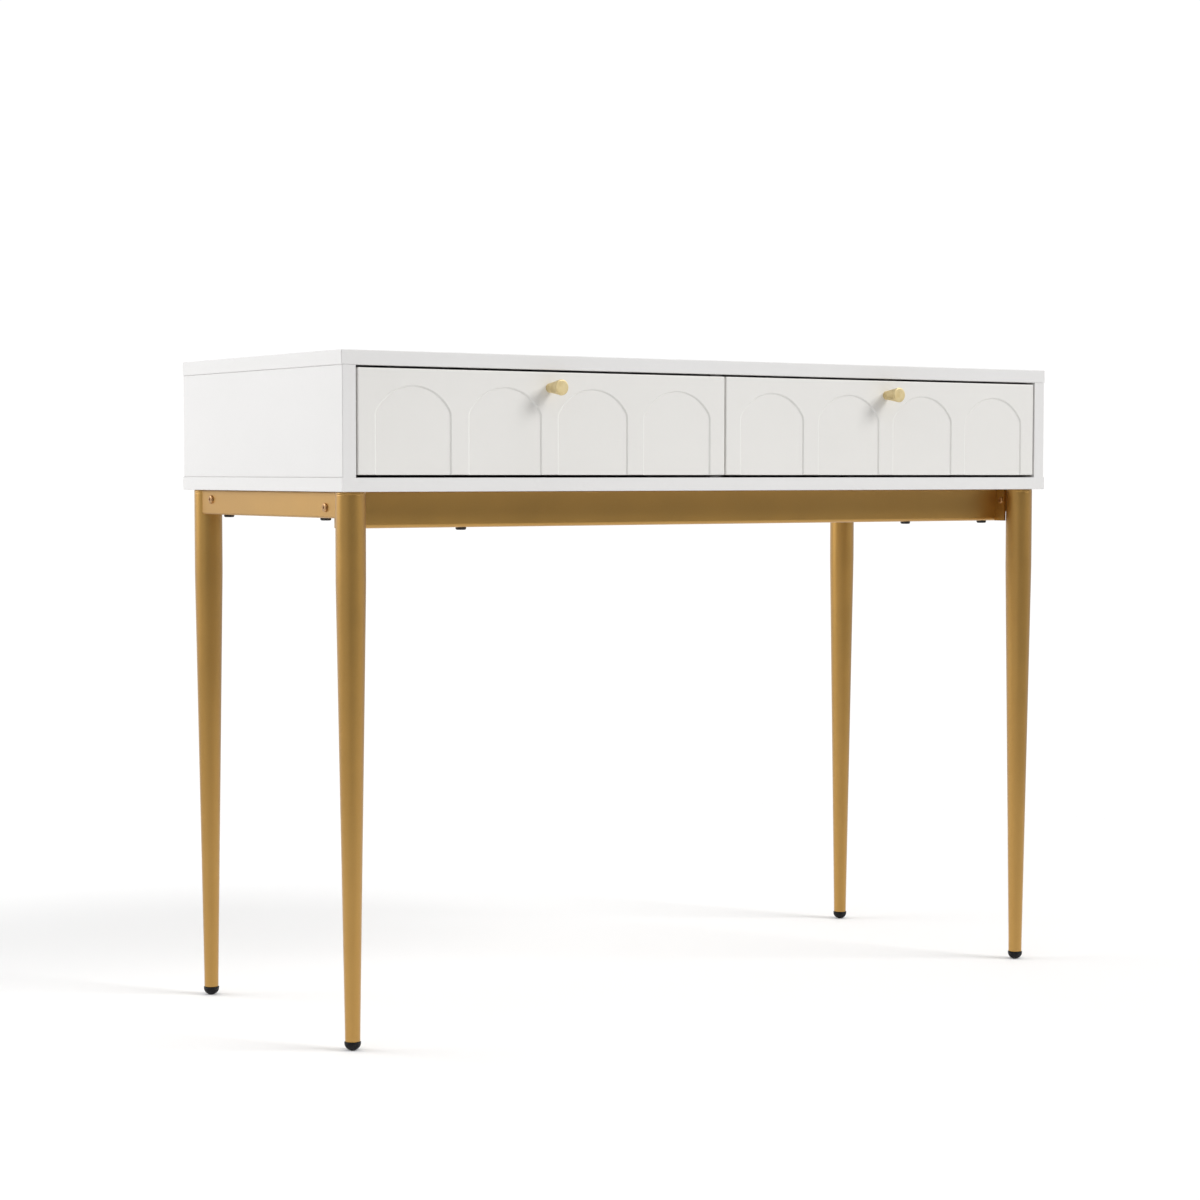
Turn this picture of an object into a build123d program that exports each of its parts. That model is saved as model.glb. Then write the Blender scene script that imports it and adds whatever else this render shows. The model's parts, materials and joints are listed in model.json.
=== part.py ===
"""A slim white dressing table with two inset drawers, standing on a gold-painted steel frame with round legs.

Frame of reference: X to the right, Y to the back, Z up, millimetres. The origin is on the floor, under the
middle of the footprint, which counts the knobs that stand proud of the drawer fronts.
"""

import math
import os

from build123d import *

# Driving dimensions of the whole table
WIDTH = 1000.0
DEPTH = 400.0
HEIGHT = 750.0
CABINET_HEIGHT = 150.0
KNOB_LENGTH = 25.0

# Cabinet boards
TOP_BOARD = 16.0
BOTTOM_BOARD = 15.0
SIDE_BOARD = 16.0
DIVIDER_BOARD = 16.0
BACK_BOARD = 5.0
SIDE_INSET = 1.0
BACK_INSET = 10.0
BACK_TONGUE = 5.0
GROOVE_PLAY = 0.2
GROOVE_FLOOR_PLAY = 1.0
BOARD_EDGE_RADIUS = 1.0
SIDE_EDGE_RADIUS = 1.0

# Drawer fronts and the gaps round them
FRONT_BOARD = 16.0
SIDE_GAP = 2.5
MIDDLE_GAP = 2.0
TOP_GAP = 2.5
BOTTOM_GAP = 3.0
FRONT_EDGE_RADIUS = 1.2

# Recessed arches in the drawer fronts, open at the lower edge
ARCH_COUNT = 4
ARCH_PITCH = 115.0
ARCH_HALF_WIDTH = 47.0
ARCH_SPRING = 67.0
ARCH_CROWN = 96.0
ARCH_SHOULDER_RADIUS = 14.0
ARCH_DEPTH = 1.3
ARCH_WALL_SLOPE = 54.0
ARCH_RUN_OUT = 8.0

# Drawer boxes
BOX_BOARD = 12.0
BOX_BOTTOM_BOARD = 3.0
BOX_LENGTH = 350.0
BOX_HEIGHT = 85.0
BOX_LIFT = 9.0
BOX_BOTTOM_LIFT = 8.0
BOX_GROOVE_DEPTH = 6.0
DIVIDER_SETBACK = 3.0

# Knobs
KNOB_BASE_RADIUS = 5.25
KNOB_END_RADIUS = 8.95
KNOB_COLLAR_LENGTH = 2.0
KNOB_END_FILLET = 1.4
KNOB_HEIGHT_ON_FRONT = 96.0
KNOB_SCREW_RADIUS = 2.0
KNOB_SCREW_REACH = 12.0

# Ball-bearing drawer slides: three nested channels in the gap beside the drawer box
SLIDE_GAP = 12.7
SLIDE_LENGTH = 300.0
SLIDE_GAUGE = 1.2
SLIDE_BEND_RADIUS = 1.0
SLIDE_RISE = 36.0
SLIDE_FRONT_CLEARANCE = 3.0
OUTER_HALF_HEIGHT = 17.5
OUTER_LIP = 10.5
MIDDLE_WEB = 3.0
MIDDLE_HALF_HEIGHT = 14.0
MIDDLE_LIP = 10.5
INNER_HALF_HEIGHT = 10.4
INNER_LIP = 6.0
SLIDE_SCREW_STATIONS = (40.0, 150.0, 260.0)

# Steel frame
LEG_INSET = 22.0
LEG_RADIUS = 16.25
LEG_TIP_RADIUS = 8.25
LEG_TAPER_TOP = 510.0
LEG_TAPER_FOOT = 25.0
LEG_WALL = 1.2
LEG_CAP = 3.0
FOOT_HEIGHT = 9.5
FOOT_RADIUS = 9.0
FOOT_CONTACT_RADIUS = 3.0
FOOT_DOME_HEIGHT = 8.0
FOOT_DOME_MIDDLE = (7.0, 3.4)
FOOT_PLUG_LENGTH = 16.0
RAIL_WIDTH = 25.0
RAIL_HEIGHT = 28.5
TUBE_WALL = 1.5
RAIL_CORNER = 2.0
BEAM_WIDTH = 20.0
BEAM_HEIGHT = 40.0
BEAM_UPPER_CORNER = 2.5
BEAM_LOWER_CORNER = 4.5
BEAM_SETBACK = 58.0
END_PLATE_THICKNESS = 3.0
END_PLATE_REACH = 25.0
END_PLATE_SCREW_OFFSET = 19.0
FIT_PLAY = 0.2
TONGUE_WALL = 2.5
TONGUE_REACH = 48.0

# Fasteners
SCREW_CROWN_SHARE = 0.6
SOCKET_DEPTH_SHARE = 0.7
RAIL_SCREW_FROM_LEG = (34.0, 36.0)
RAIL_SCREW_DROP = (17.0, 11.0)
BOLT_HEAD_RADIUS = 6.0
BOLT_HEAD_HEIGHT = 3.0
BOLT_SOCKET_RADIUS = 2.3
BOLT_RADIUS = 3.0
BOLT_TIP_PLAY = 1.0
INSERT_RADIUS = 5.0
INSERT_LENGTH = 12.0
RAIL_BOLT_SPACING = 242.0
FRONT_BEAM_BOLT_X = (321.0, 447.0)
REAR_BEAM_BOLT_X = (321.0,)
DRILL_PLAY = 0.05
DRILL_OVERRUN = 1.0

# Places worked out from the driving dimensions
FRONT_Y = KNOB_LENGTH / 2 - DEPTH / 2
BACK_Y = FRONT_Y + DEPTH
MID_Y = (FRONT_Y + BACK_Y) / 2
LEG_TOP = HEIGHT - CABINET_HEIGHT
FLOOR_BOARD_TOP = LEG_TOP + BOTTOM_BOARD
CEILING = HEIGHT - TOP_BOARD
SIDE_OUTER_X = WIDTH / 2 - SIDE_INSET
SIDE_INNER_X = SIDE_OUTER_X - SIDE_BOARD
BACK_FACE_Y = BACK_Y - BACK_INSET
BACK_FRONT_Y = BACK_FACE_Y - BACK_BOARD
FRONT_REAR_Y = FRONT_Y + FRONT_BOARD
BOX_REAR_Y = FRONT_REAR_Y + BOX_LENGTH
BOX_LOW_Z = FLOOR_BOARD_TOP + BOX_LIFT
BOX_TOP_Z = BOX_LOW_Z + BOX_HEIGHT
SLIDE_START_Y = FRONT_REAR_Y + SLIDE_FRONT_CLEARANCE
SLIDE_Z = BOX_LOW_Z + SLIDE_RISE
FRONT_WIDTH = SIDE_INNER_X - SIDE_GAP - MIDDLE_GAP / 2
FRONT_LOW_Z = FLOOR_BOARD_TOP + BOTTOM_GAP
FRONT_TOP_Z = CEILING - TOP_GAP
LEG_X = WIDTH / 2 - LEG_INSET
LEG_FRONT_Y = FRONT_Y + LEG_INSET
LEG_REAR_Y = BACK_Y - LEG_INSET
FRONT_BEAM_Y = FRONT_Y + BEAM_SETBACK
REAR_BEAM_Y = BACK_Y - BEAM_SETBACK
RAIL_INNER_X = LEG_X - RAIL_WIDTH / 2
BEAM_END_X = RAIL_INNER_X - END_PLATE_THICKNESS

SIDES = {"left": -1, "right": 1}
UP = (0, 0, 1)


os.makedirs("parts", exist_ok=True)


def save(piece, label):
    """Names a finished piece and writes it to its own file."""
    piece.label = label
    export_step(piece, f"parts/{label}.step")


def board(x_span, y_span, z_span, cuts=(), edge_radius=0.0):
    """A flat board between three pairs of limits, edges eased, with tool bodies cut away."""
    with BuildPart() as piece:
        with BuildSketch(Plane.XY.offset(z_span[0])):
            with Locations((sum(x_span) / 2, sum(y_span) / 2)):
                Rectangle(abs(x_span[1] - x_span[0]), y_span[1] - y_span[0])
        extrude(amount=z_span[1] - z_span[0])
        if edge_radius:
            fillet(piece.edges(), edge_radius)
        for cut in cuts:
            add(cut, mode=Mode.SUBTRACT)
    return piece.part


def rods(points, direction, radius, length):
    """Round rods that end at the points and run back from them, as pins or as the drills for holes."""
    with BuildPart() as group:
        with Locations(*[Plane(origin=point, z_dir=direction) for point in points]):
            Cylinder(radius, length, align=(Align.CENTER, Align.CENTER, Align.MAX))
    return group.part


def screws(points, direction, head, shank, socket=0.0):
    """Screws with domed heads standing on the points; head and shank are (radius, length) pairs."""
    head_radius, head_height = head
    shank_radius, shank_length = shank
    planes = [Plane(origin=point, z_dir=direction) for point in points]
    with BuildPart() as group:
        with Locations(*planes):
            Cylinder(head_radius, head_height, align=(Align.CENTER, Align.CENTER, Align.MIN))
        crowns = group.edges().group_by(Axis((0, 0, 0), direction))[-1]
        fillet(crowns, head_height * SCREW_CROWN_SHARE)
        with Locations(*planes):
            Cylinder(shank_radius, shank_length, align=(Align.CENTER, Align.CENTER, Align.MAX))
        if socket:
            with BuildSketch(*[plane.offset(head_height) for plane in planes]):
                RegularPolygon(socket, 6)
            extrude(amount=-head_height * SOCKET_DEPTH_SHARE, mode=Mode.SUBTRACT)
    return group.part


def joined(pieces):
    """Several separate solids as one group."""
    with BuildPart() as group:
        for piece in pieces:
            add(piece)
    return group.part


# ---- Cabinet: joints between the boards ------------------------------------------------------------------

CAM_Y = (FRONT_Y + 45.0, BACK_Y - 55.0)
DOWEL_Y = (FRONT_Y + 80.0, BACK_Y - 90.0)
UPRIGHT_X = (-SIDE_OUTER_X + SIDE_BOARD / 2, 0.0, SIDE_OUTER_X - SIDE_BOARD / 2)
CAM_RADIUS = 7.5
CAM_THICKNESS = 12.0
CAM_FROM_END = 20.0
CAM_BOLT_RADIUS = 3.0
CAM_BOLT_BITE = 10.0
DOWEL_RADIUS = 4.0
DOWEL_BITE = 9.0
DOWEL_TAIL = 20.0


def joint_rods(y_places, bite, tail, radius):
    """Rods across both seams of every upright, which bite into the outer board and leave a tail inside."""
    upper = [(x, y, CEILING + bite) for x in UPRIGHT_X for y in y_places]
    lower = [(x, y, FLOOR_BOARD_TOP - bite) for x in UPRIGHT_X for y in y_places]
    return joined([rods(upper, UP, radius, bite + tail), rods(lower, (0, 0, -1), radius, bite + tail)])


def cam_discs(face_x, outward, radius, thickness):
    """Discs let into one face of an upright, level with the ends of the cam bolts."""
    heights = (CEILING - CAM_FROM_END, FLOOR_BOARD_TOP + CAM_FROM_END)
    points = [(face_x, y, z) for y in CAM_Y for z in heights]
    return rods(points, (outward, 0, 0), radius, thickness)


def joint_drills(y_places, bite, tail, radius):
    """The holes for joint_rods, a little wider and deeper than the rods."""
    return joint_rods(y_places, bite + DRILL_PLAY, tail + DRILL_OVERRUN, radius + DRILL_PLAY)


cam_bolts = joint_rods(CAM_Y, CAM_BOLT_BITE, CAM_FROM_END, CAM_BOLT_RADIUS)
cam_bolt_drills = joint_drills(CAM_Y, CAM_BOLT_BITE, CAM_FROM_END, CAM_BOLT_RADIUS)
panel_dowels = joint_rods(DOWEL_Y, DOWEL_BITE, DOWEL_TAIL, DOWEL_RADIUS)
dowel_drills = joint_drills(DOWEL_Y, DOWEL_BITE, DOWEL_TAIL, DOWEL_RADIUS)

# The face that takes the cams looks towards the middle of the table, and to the left on the divider
CAM_FACES = ((-SIDE_INNER_X, 1), (-DIVIDER_BOARD / 2, -1), (SIDE_INNER_X, -1))
cam_pockets = joined(
    [cam_discs(x, outward, CAM_RADIUS + DRILL_PLAY, CAM_THICKNESS + DRILL_PLAY) for x, outward in CAM_FACES]
)
with BuildPart() as cam_locks:
    for face_x, outward in CAM_FACES:
        add(cam_discs(face_x, outward, CAM_RADIUS, CAM_THICKNESS))
    add(cam_bolt_drills, mode=Mode.SUBTRACT)

save(cam_bolts, "cam_bolts")
save(panel_dowels, "panel_dowels")
save(cam_locks.part, "cam_locks")

# ---- Cabinet: where the steel frame is bolted on -----------------------------------------------------------

rail_bolt_points = [
    (side * LEG_X, MID_Y + end * RAIL_BOLT_SPACING / 2, LEG_TOP - RAIL_HEIGHT)
    for side in (-1, 1)
    for end in (-1, 1)
]
front_beam_bolt_points = [
    (side * x, FRONT_BEAM_Y, LEG_TOP - BEAM_HEIGHT) for side in (-1, 1) for x in FRONT_BEAM_BOLT_X
]
rear_beam_bolt_points = [
    (side * x, REAR_BEAM_Y, LEG_TOP - RAIL_HEIGHT) for side in (-1, 1) for x in REAR_BEAM_BOLT_X
]
insert_points = [
    (x, y, LEG_TOP + INSERT_LENGTH)
    for x, y, _ in rail_bolt_points + front_beam_bolt_points + rear_beam_bolt_points
]
insert_pockets = rods(insert_points, UP, INSERT_RADIUS + DRILL_PLAY, INSERT_LENGTH)
bolt_drills = rods(insert_points, UP, BOLT_RADIUS + DRILL_PLAY, INSERT_LENGTH + BEAM_HEIGHT)

with BuildPart() as insert_nuts:
    add(rods(insert_points, UP, INSERT_RADIUS, INSERT_LENGTH))
    add(bolt_drills, mode=Mode.SUBTRACT)
save(insert_nuts.part, "insert_nuts")


def bolts(points, depth):
    """Bolts that come up through a tube of the given depth into the insert nuts."""
    shank = (BOLT_RADIUS, depth + INSERT_LENGTH - BOLT_TIP_PLAY)
    return screws(points, (0, 0, -1), (BOLT_HEAD_RADIUS, BOLT_HEAD_HEIGHT), shank, BOLT_SOCKET_RADIUS)


save(
    joined(
        [
            bolts(rail_bolt_points + rear_beam_bolt_points, RAIL_HEIGHT),
            bolts(front_beam_bolt_points, BEAM_HEIGHT),
        ]
    ),
    "frame_bolts",
)

# ---- Cabinet: boards ---------------------------------------------------------------------------------------

groove_reach = SIDE_INNER_X + BACK_TONGUE + GROOVE_FLOOR_PLAY
groove_y = (BACK_FRONT_Y - GROOVE_PLAY, BACK_FACE_Y + GROOVE_PLAY)
groove_z = (
    FLOOR_BOARD_TOP - BACK_TONGUE - GROOVE_FLOOR_PLAY,
    CEILING + BACK_TONGUE + GROOVE_FLOOR_PLAY,
)
back_groove = board((-groove_reach, groove_reach), groove_y, groove_z)

save(
    board(
        (-WIDTH / 2, WIDTH / 2),
        (FRONT_Y, BACK_Y),
        (CEILING, HEIGHT),
        [back_groove, cam_bolt_drills, dowel_drills],
        BOARD_EDGE_RADIUS,
    ),
    "top_panel",
)

# The bottom board's lower edges are eased; its upper edges are sharp, where the side panels meet it
with BuildPart() as bottom_panel:
    add(board((-WIDTH / 2, WIDTH / 2), (FRONT_Y, BACK_Y), (LEG_TOP, FLOOR_BOARD_TOP)))
    fillet(bottom_panel.edges().group_by(Axis.Z)[0], BOARD_EDGE_RADIUS)
    for cut in (back_groove, cam_bolt_drills, dowel_drills, insert_pockets):
        add(cut, mode=Mode.SUBTRACT)
save(bottom_panel.part, "bottom_panel")

# Screws of the slides: radius and length of head and shank
SLIDE_SCREW_HEAD = (3.2, 1.2)
SLIDE_SCREW_SHANK = (1.6, 7.2)

# The four walls that carry slides, and the way each one faces
WALL_FACING = {
    -SIDE_INNER_X: 1,
    -DIVIDER_BOARD / 2: -1,
    DIVIDER_BOARD / 2: 1,
    SIDE_INNER_X: -1,
}
slide_screw_points = {
    wall_x: [(wall_x, SLIDE_START_Y + station, SLIDE_Z) for station in SLIDE_SCREW_STATIONS]
    for wall_x in WALL_FACING
}
slide_screw_drills = joined(
    [rods(slide_screw_points[x], (WALL_FACING[x], 0, 0), *SLIDE_SCREW_SHANK) for x in WALL_FACING]
)

for name, side in SIDES.items():
    with BuildPart() as side_panel:
        x_span = sorted((side * SIDE_INNER_X, side * SIDE_OUTER_X))
        add(board(x_span, (FRONT_Y, BACK_Y), (FLOOR_BOARD_TOP, CEILING)))
        outer_face = side_panel.faces().sort_by(Axis.X)[-1 if side > 0 else 0]
        fillet(outer_face.edges(), SIDE_EDGE_RADIUS)
        for cut in (back_groove, cam_bolt_drills, dowel_drills, cam_pockets, slide_screw_drills):
            add(cut, mode=Mode.SUBTRACT)
    save(side_panel.part, f"side_panel_{name}")

save(
    board(
        (-DIVIDER_BOARD / 2, DIVIDER_BOARD / 2),
        (FRONT_REAR_Y + DIVIDER_SETBACK, BACK_FRONT_Y - GROOVE_PLAY),
        (FLOOR_BOARD_TOP, CEILING),
        [cam_bolt_drills, dowel_drills, cam_pockets, slide_screw_drills],
    ),
    "centre_divider",
)
save(
    board(
        (-SIDE_INNER_X - BACK_TONGUE, SIDE_INNER_X + BACK_TONGUE),
        (BACK_FRONT_Y, BACK_FACE_Y),
        (FLOOR_BOARD_TOP - BACK_TONGUE, CEILING + BACK_TONGUE),
    ),
    "back_panel",
)

# ---- Drawer slides -----------------------------------------------------------------------------------------


def channel(web_x, lip_x, half_height, screw_drills=None):
    """A channel that runs front to back: its web stands at web_x and its two flanges reach to lip_x."""
    towards_lip = math.copysign(1, lip_x - web_x)
    with BuildPart() as member:
        with BuildSketch(Plane.XZ.offset(-SLIDE_START_Y)):
            with Locations(((web_x + lip_x) / 2, SLIDE_Z)):
                RectangleRounded(abs(lip_x - web_x), 2 * half_height, SLIDE_BEND_RADIUS)
            with Locations(((web_x + lip_x) / 2 + towards_lip * SLIDE_GAUGE, SLIDE_Z)):
                Rectangle(abs(lip_x - web_x), 2 * (half_height - SLIDE_GAUGE), mode=Mode.SUBTRACT)
        extrude(amount=-SLIDE_LENGTH)
        if screw_drills:
            add(screw_drills, mode=Mode.SUBTRACT)
    return member.part


def bay_walls(drawer_side):
    """The x of the left and right walls of a drawer's bay."""
    return sorted((drawer_side * DIVIDER_BOARD / 2, drawer_side * SIDE_INNER_X))


cabinet_slide_screws = []
for drawer, drawer_side in SIDES.items():
    for hand, wall_x in zip(("left", "right"), bay_walls(drawer_side)):
        inward = WALL_FACING[wall_x]
        box_x = wall_x + inward * SLIDE_GAP
        points = slide_screw_points[wall_x]
        drill_ends = [(box_x, y, z) for _, y, z in points]
        drills = rods(drill_ends, (inward, 0, 0), SLIDE_SCREW_SHANK[0] + DRILL_PLAY, SLIDE_GAP)
        save(
            channel(wall_x, wall_x + inward * OUTER_LIP, OUTER_HALF_HEIGHT, drills),
            f"drawer_{drawer}_outer_slide_{hand}",
        )
        save(
            channel(wall_x + inward * MIDDLE_WEB, wall_x + inward * MIDDLE_LIP, MIDDLE_HALF_HEIGHT),
            f"drawer_{drawer}_middle_slide_{hand}",
        )
        save(
            channel(box_x, wall_x + inward * INNER_LIP, INNER_HALF_HEIGHT, drills),
            f"drawer_{drawer}_inner_slide_{hand}",
        )
        heads_at = [(x + inward * SLIDE_GAUGE, y, z) for x, y, z in points]
        cabinet_slide_screws.append(screws(heads_at, (inward, 0, 0), SLIDE_SCREW_HEAD, SLIDE_SCREW_SHANK))
save(joined(cabinet_slide_screws), "cabinet_slide_screws")

# ---- Drawers -----------------------------------------------------------------------------------------------

DRAWER_CAM_RADIUS = 6.0
DRAWER_CAM_THICKNESS = 9.0
DRAWER_CAM_FROM_FRONT = 18.0
DRAWER_BOLT_RADIUS = 2.5
DRAWER_BOLT_BITE = 8.0
CORNER_SCREW_HEAD = (3.6, 2.0)
CORNER_SCREW_SHANK = (2.0, 32.0)
FITTING_Z = (BOX_LOW_Z + 24.0, BOX_LOW_Z + 66.0)
KNOB_SCREW_HEAD = (4.0, 2.4)
KNOB_SCREW_SOCKET_RADIUS = 1.3


def drawer_front(centre_x, cuts):
    """A slab with a row of shallow arches whose sloping walls run out at the lower edge."""
    half = FRONT_WIDTH / 2
    with BuildPart() as front:
        add(
            board(
                (centre_x - half, centre_x + half),
                (FRONT_Y, FRONT_REAR_Y),
                (FRONT_LOW_Z, FRONT_TOP_Z),
                edge_radius=FRONT_EDGE_RADIUS,
            )
        )
        for index in range(ARCH_COUNT):
            arch_x = centre_x + (index - (ARCH_COUNT - 1) / 2) * ARCH_PITCH
            face = Plane(origin=(arch_x, FRONT_Y, FRONT_LOW_Z), x_dir=(1, 0, 0), z_dir=(0, -1, 0))
            with BuildSketch(face) as arch:
                with BuildLine():
                    Polyline(
                        (-ARCH_HALF_WIDTH, ARCH_SPRING),
                        (-ARCH_HALF_WIDTH, -ARCH_RUN_OUT),
                        (ARCH_HALF_WIDTH, -ARCH_RUN_OUT),
                        (ARCH_HALF_WIDTH, ARCH_SPRING),
                    )
                    ThreePointArc(
                        (ARCH_HALF_WIDTH, ARCH_SPRING), (0, ARCH_CROWN), (-ARCH_HALF_WIDTH, ARCH_SPRING)
                    )
                make_face()
                fillet(arch.vertices().group_by(Axis.Y)[-1], ARCH_SHOULDER_RADIUS)
            extrude(amount=ARCH_DEPTH, dir=(0, 1, 0), taper=ARCH_WALL_SLOPE, mode=Mode.SUBTRACT)
        for cut in cuts:
            add(cut, mode=Mode.SUBTRACT)
    return front.part


def knob(centre_x, knob_z):
    """A cone that widens to its rounded end, on a short collar, with a blind hole for its screw."""
    section = Plane(origin=(centre_x, FRONT_Y, knob_z), x_dir=(0, -1, 0), z_dir=(1, 0, 0))
    with BuildPart() as piece:
        with BuildSketch(section) as profile:
            with BuildLine():
                Polyline(
                    (0, 0),
                    (0, KNOB_BASE_RADIUS),
                    (KNOB_COLLAR_LENGTH, KNOB_BASE_RADIUS),
                    (KNOB_LENGTH, KNOB_END_RADIUS),
                    (KNOB_LENGTH, 0),
                    close=True,
                )
            make_face()
            fillet(profile.vertices().sort_by(Axis.X)[-2:].sort_by(Axis.Y)[-1], KNOB_END_FILLET)
        revolve(axis=Axis((centre_x, FRONT_Y, knob_z), (0, -1, 0)))
        screw_hole = rods(
            [(centre_x, FRONT_Y, knob_z)],
            (0, 1, 0),
            KNOB_SCREW_RADIUS + DRILL_PLAY,
            KNOB_SCREW_REACH + DRILL_OVERRUN,
        )
        add(screw_hole, mode=Mode.SUBTRACT)
    return piece.part


for drawer, drawer_side in SIDES.items():
    walls = bay_walls(drawer_side)
    box_low_x = walls[0] + SLIDE_GAP
    box_high_x = walls[1] - SLIDE_GAP
    front_x = drawer_side * (MIDDLE_GAP / 2 + FRONT_WIDTH / 2)
    knob_z = FRONT_LOW_Z + KNOB_HEIGHT_ON_FRONT
    inner_low_x = box_low_x + BOX_BOARD
    inner_high_x = box_high_x - BOX_BOARD
    bottom_z = (BOX_LOW_Z + BOX_BOTTOM_LIFT, BOX_LOW_Z + BOX_BOTTOM_LIFT + BOX_BOTTOM_BOARD)
    tongue = BOX_GROOVE_DEPTH - GROOVE_FLOOR_PLAY
    groove = board(
        (inner_low_x - BOX_GROOVE_DEPTH, inner_high_x + BOX_GROOVE_DEPTH),
        (FRONT_REAR_Y - BOX_GROOVE_DEPTH, BOX_REAR_Y - BOX_BOARD + BOX_GROOVE_DEPTH),
        (bottom_z[0] - GROOVE_PLAY, bottom_z[1] + GROOVE_PLAY),
    )
    save(
        board(
            (inner_low_x - tongue, inner_high_x + tongue),
            (FRONT_REAR_Y - tongue, BOX_REAR_Y - BOX_BOARD + tongue),
            bottom_z,
        ),
        f"drawer_{drawer}_bottom",
    )

    # Cam fittings join the sides to the front; screws join them to the back
    bolt_points = [
        (x, FRONT_REAR_Y - DRAWER_BOLT_BITE, z)
        for x in (box_low_x + BOX_BOARD / 2, box_high_x - BOX_BOARD / 2)
        for z in FITTING_Z
    ]
    front_bolts = rods(bolt_points, (0, -1, 0), DRAWER_BOLT_RADIUS, DRAWER_BOLT_BITE + DRAWER_CAM_FROM_FRONT)
    front_bolt_drills = rods(
        [(x, y - DRILL_PLAY, z) for x, y, z in bolt_points],
        (0, -1, 0),
        DRAWER_BOLT_RADIUS + DRILL_PLAY,
        DRAWER_BOLT_BITE + DRAWER_CAM_FROM_FRONT + DRILL_OVERRUN,
    )
    cams = []
    pockets = []
    for face_x, facing in ((inner_low_x, 1), (inner_high_x, -1)):
        points = [(face_x, FRONT_REAR_Y + DRAWER_CAM_FROM_FRONT, z) for z in FITTING_Z]
        cams.append(rods(points, (facing, 0, 0), DRAWER_CAM_RADIUS, DRAWER_CAM_THICKNESS))
        pockets.append(
            rods(points, (facing, 0, 0), DRAWER_CAM_RADIUS + DRILL_PLAY, DRAWER_CAM_THICKNESS + DRILL_PLAY)
        )
    with BuildPart() as cam_fittings:
        for cam in cams:
            add(cam)
        add(front_bolt_drills, mode=Mode.SUBTRACT)
        add(front_bolts)
    save(cam_fittings.part, f"drawer_{drawer}_cam_fittings")

    corner_screws = []
    corner_drills = []
    inner_slide_screws = []
    inner_slide_drills = []
    for face_x, outward in ((box_low_x, -1), (box_high_x, 1)):
        wall_x = face_x + outward * SLIDE_GAP
        points = [
            (face_x - outward * CORNER_SCREW_HEAD[1], BOX_REAR_Y - BOX_BOARD / 2, z) for z in FITTING_Z
        ]
        surface = [(face_x, y, z) for _, y, z in points]
        corner_screws.append(screws(points, (outward, 0, 0), CORNER_SCREW_HEAD, CORNER_SCREW_SHANK))
        corner_drills.append(rods(points, (outward, 0, 0), CORNER_SCREW_SHANK[0], CORNER_SCREW_SHANK[1]))
        corner_drills.append(
            rods(surface, (outward, 0, 0), CORNER_SCREW_HEAD[0] + DRILL_PLAY, CORNER_SCREW_HEAD[1])
        )
        points = [(face_x + outward * SLIDE_GAUGE, y, z) for _, y, z in slide_screw_points[wall_x]]
        inner_slide_screws.append(screws(points, (outward, 0, 0), SLIDE_SCREW_HEAD, SLIDE_SCREW_SHANK))
        inner_slide_drills.append(rods(points, (outward, 0, 0), *SLIDE_SCREW_SHANK))
    save(joined(corner_screws), f"drawer_{drawer}_back_screws")
    save(joined(inner_slide_screws), f"drawer_{drawer}_slide_screws")

    for hand, x_span in (("left", (box_low_x, inner_low_x)), ("right", (inner_high_x, box_high_x))):
        save(
            board(
                x_span,
                (FRONT_REAR_Y, BOX_REAR_Y),
                (BOX_LOW_Z, BOX_TOP_Z),
                [groove, front_bolt_drills, *pockets, *corner_drills, *inner_slide_drills],
            ),
            f"drawer_{drawer}_side_{hand}",
        )
    save(
        board(
            (inner_low_x, inner_high_x),
            (BOX_REAR_Y - BOX_BOARD, BOX_REAR_Y),
            (BOX_LOW_Z, BOX_TOP_Z),
            [groove, *corner_drills],
        ),
        f"drawer_{drawer}_back",
    )

    knob_screw_at = [(front_x, FRONT_REAR_Y, knob_z)]
    screw_hole = rods(knob_screw_at, (0, 1, 0), KNOB_SCREW_RADIUS + FIT_PLAY, FRONT_BOARD)
    save(drawer_front(front_x, [groove, front_bolt_drills, screw_hole]), f"drawer_{drawer}_front")
    save(knob(front_x, knob_z), f"drawer_{drawer}_knob")
    save(
        screws(
            knob_screw_at,
            (0, 1, 0),
            KNOB_SCREW_HEAD,
            (KNOB_SCREW_RADIUS, FRONT_BOARD + KNOB_SCREW_REACH),
            KNOB_SCREW_SOCKET_RADIUS,
        ),
        f"drawer_{drawer}_knob_screw",
    )

# ---- Steel frame -------------------------------------------------------------------------------------------


def upright_section(x, y):
    """The plane through a leg's axis on which its outline is drawn, radius across and height up."""
    return Plane(origin=(x, y, 0), x_dir=(1, 0, 0), z_dir=(0, -1, 0))


def leg(x, y):
    """A thin tube with a top plate, straight below the cabinet, then tapering to a short straight tip."""
    tip_bore = LEG_TIP_RADIUS - LEG_WALL
    with BuildPart() as piece:
        with BuildSketch(upright_section(x, y)):
            with BuildLine():
                Polyline(
                    (0, LEG_TOP),
                    (LEG_RADIUS, LEG_TOP),
                    (LEG_RADIUS, LEG_TAPER_TOP),
                    (LEG_TIP_RADIUS, LEG_TAPER_FOOT),
                    (LEG_TIP_RADIUS, FOOT_HEIGHT),
                    (tip_bore, FOOT_HEIGHT),
                    (tip_bore, LEG_TAPER_FOOT),
                    (LEG_RADIUS - LEG_WALL, LEG_TAPER_TOP),
                    (LEG_RADIUS - LEG_WALL, LEG_TOP - LEG_CAP),
                    (0, LEG_TOP - LEG_CAP),
                    close=True,
                )
            make_face()
        revolve(axis=Axis((x, y, 0), UP))
    return piece.part


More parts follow.
